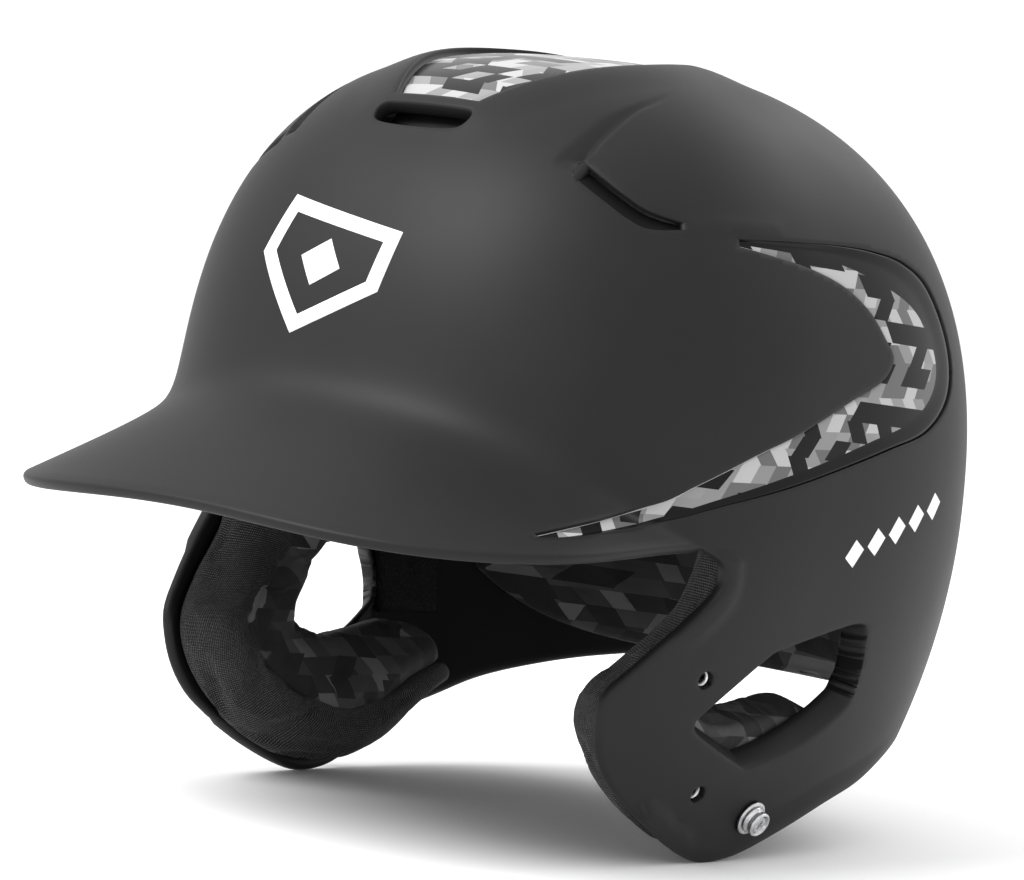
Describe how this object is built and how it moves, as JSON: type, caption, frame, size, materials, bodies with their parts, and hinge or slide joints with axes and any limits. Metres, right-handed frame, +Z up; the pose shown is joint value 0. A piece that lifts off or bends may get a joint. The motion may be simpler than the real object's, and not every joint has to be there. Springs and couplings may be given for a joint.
{
  "type": "batting helmet",
  "caption": "Double-flap batting helmet: hard shell with bill, ear guards with ear openings, vents, foam liners, fabric ear cushions, snap studs and face-guard inserts.",
  "frame": {"origin": "middle of the bounding box, at the lowest points of the ear guards", "axes": "+X to the wearer's left, the bill points along -Y, +Z up with the belt line of the shell level"},
  "size_m": [0.212, 0.2968, 0.2301],
  "materials": {
    "shell_plastic": "matte charcoal, soft-touch coating on ABS",
    "camo_film": "gloss, printed with a grey angular camouflage",
    "vent_plastic": "satin black",
    "liner_foam": "closed-cell foam, fine grain",
    "knit_fabric": "ribbed dark knit",
    "camo_fabric": "stretch jersey printed with a dark grey angular camouflage",
    "hook_tape": "speckled hook-and-loop tape",
    "steel": "bright nickel plate"
  },
  "bodies": {
    "root": {"shell": "shell_plastic", "top_vent_inlay": "camo_film", "top_vent_duct": "vent_plastic", "crown_liner": "liner_foam", "front_liner": "liner_foam", "rear_liner": "liner_foam", "crown_pad": "knit_fabric", "brow_pad": "knit_fabric", "nape_pad": "camo_fabric", "left_camo_inlay": "camo_film", "left_side_vent_louvre": "vent_plastic", "left_liner": "liner_foam", "left_ear_edge_pad": "knit_fabric", "left_ear_cushion": "camo_fabric", "left_hook_strip": "hook_tape", "left_stud_base": "steel", "left_stud_ring": "steel", "left_stud_screw": "steel", "left_stud_nut": "steel", "left_upper_guard_insert": "steel", "left_lower_guard_insert": "steel", "right_camo_inlay": "camo_film", "right_side_vent_louvre": "vent_plastic", "right_liner": "liner_foam", "right_ear_edge_pad": "knit_fabric", "right_ear_cushion": "camo_fabric", "right_hook_strip": "hook_tape", "right_stud_base": "steel", "right_stud_ring": "steel", "right_stud_screw": "steel", "right_stud_nut": "steel", "right_upper_guard_insert": "steel", "right_lower_guard_insert": "steel"}
  },
  "joints": []
}
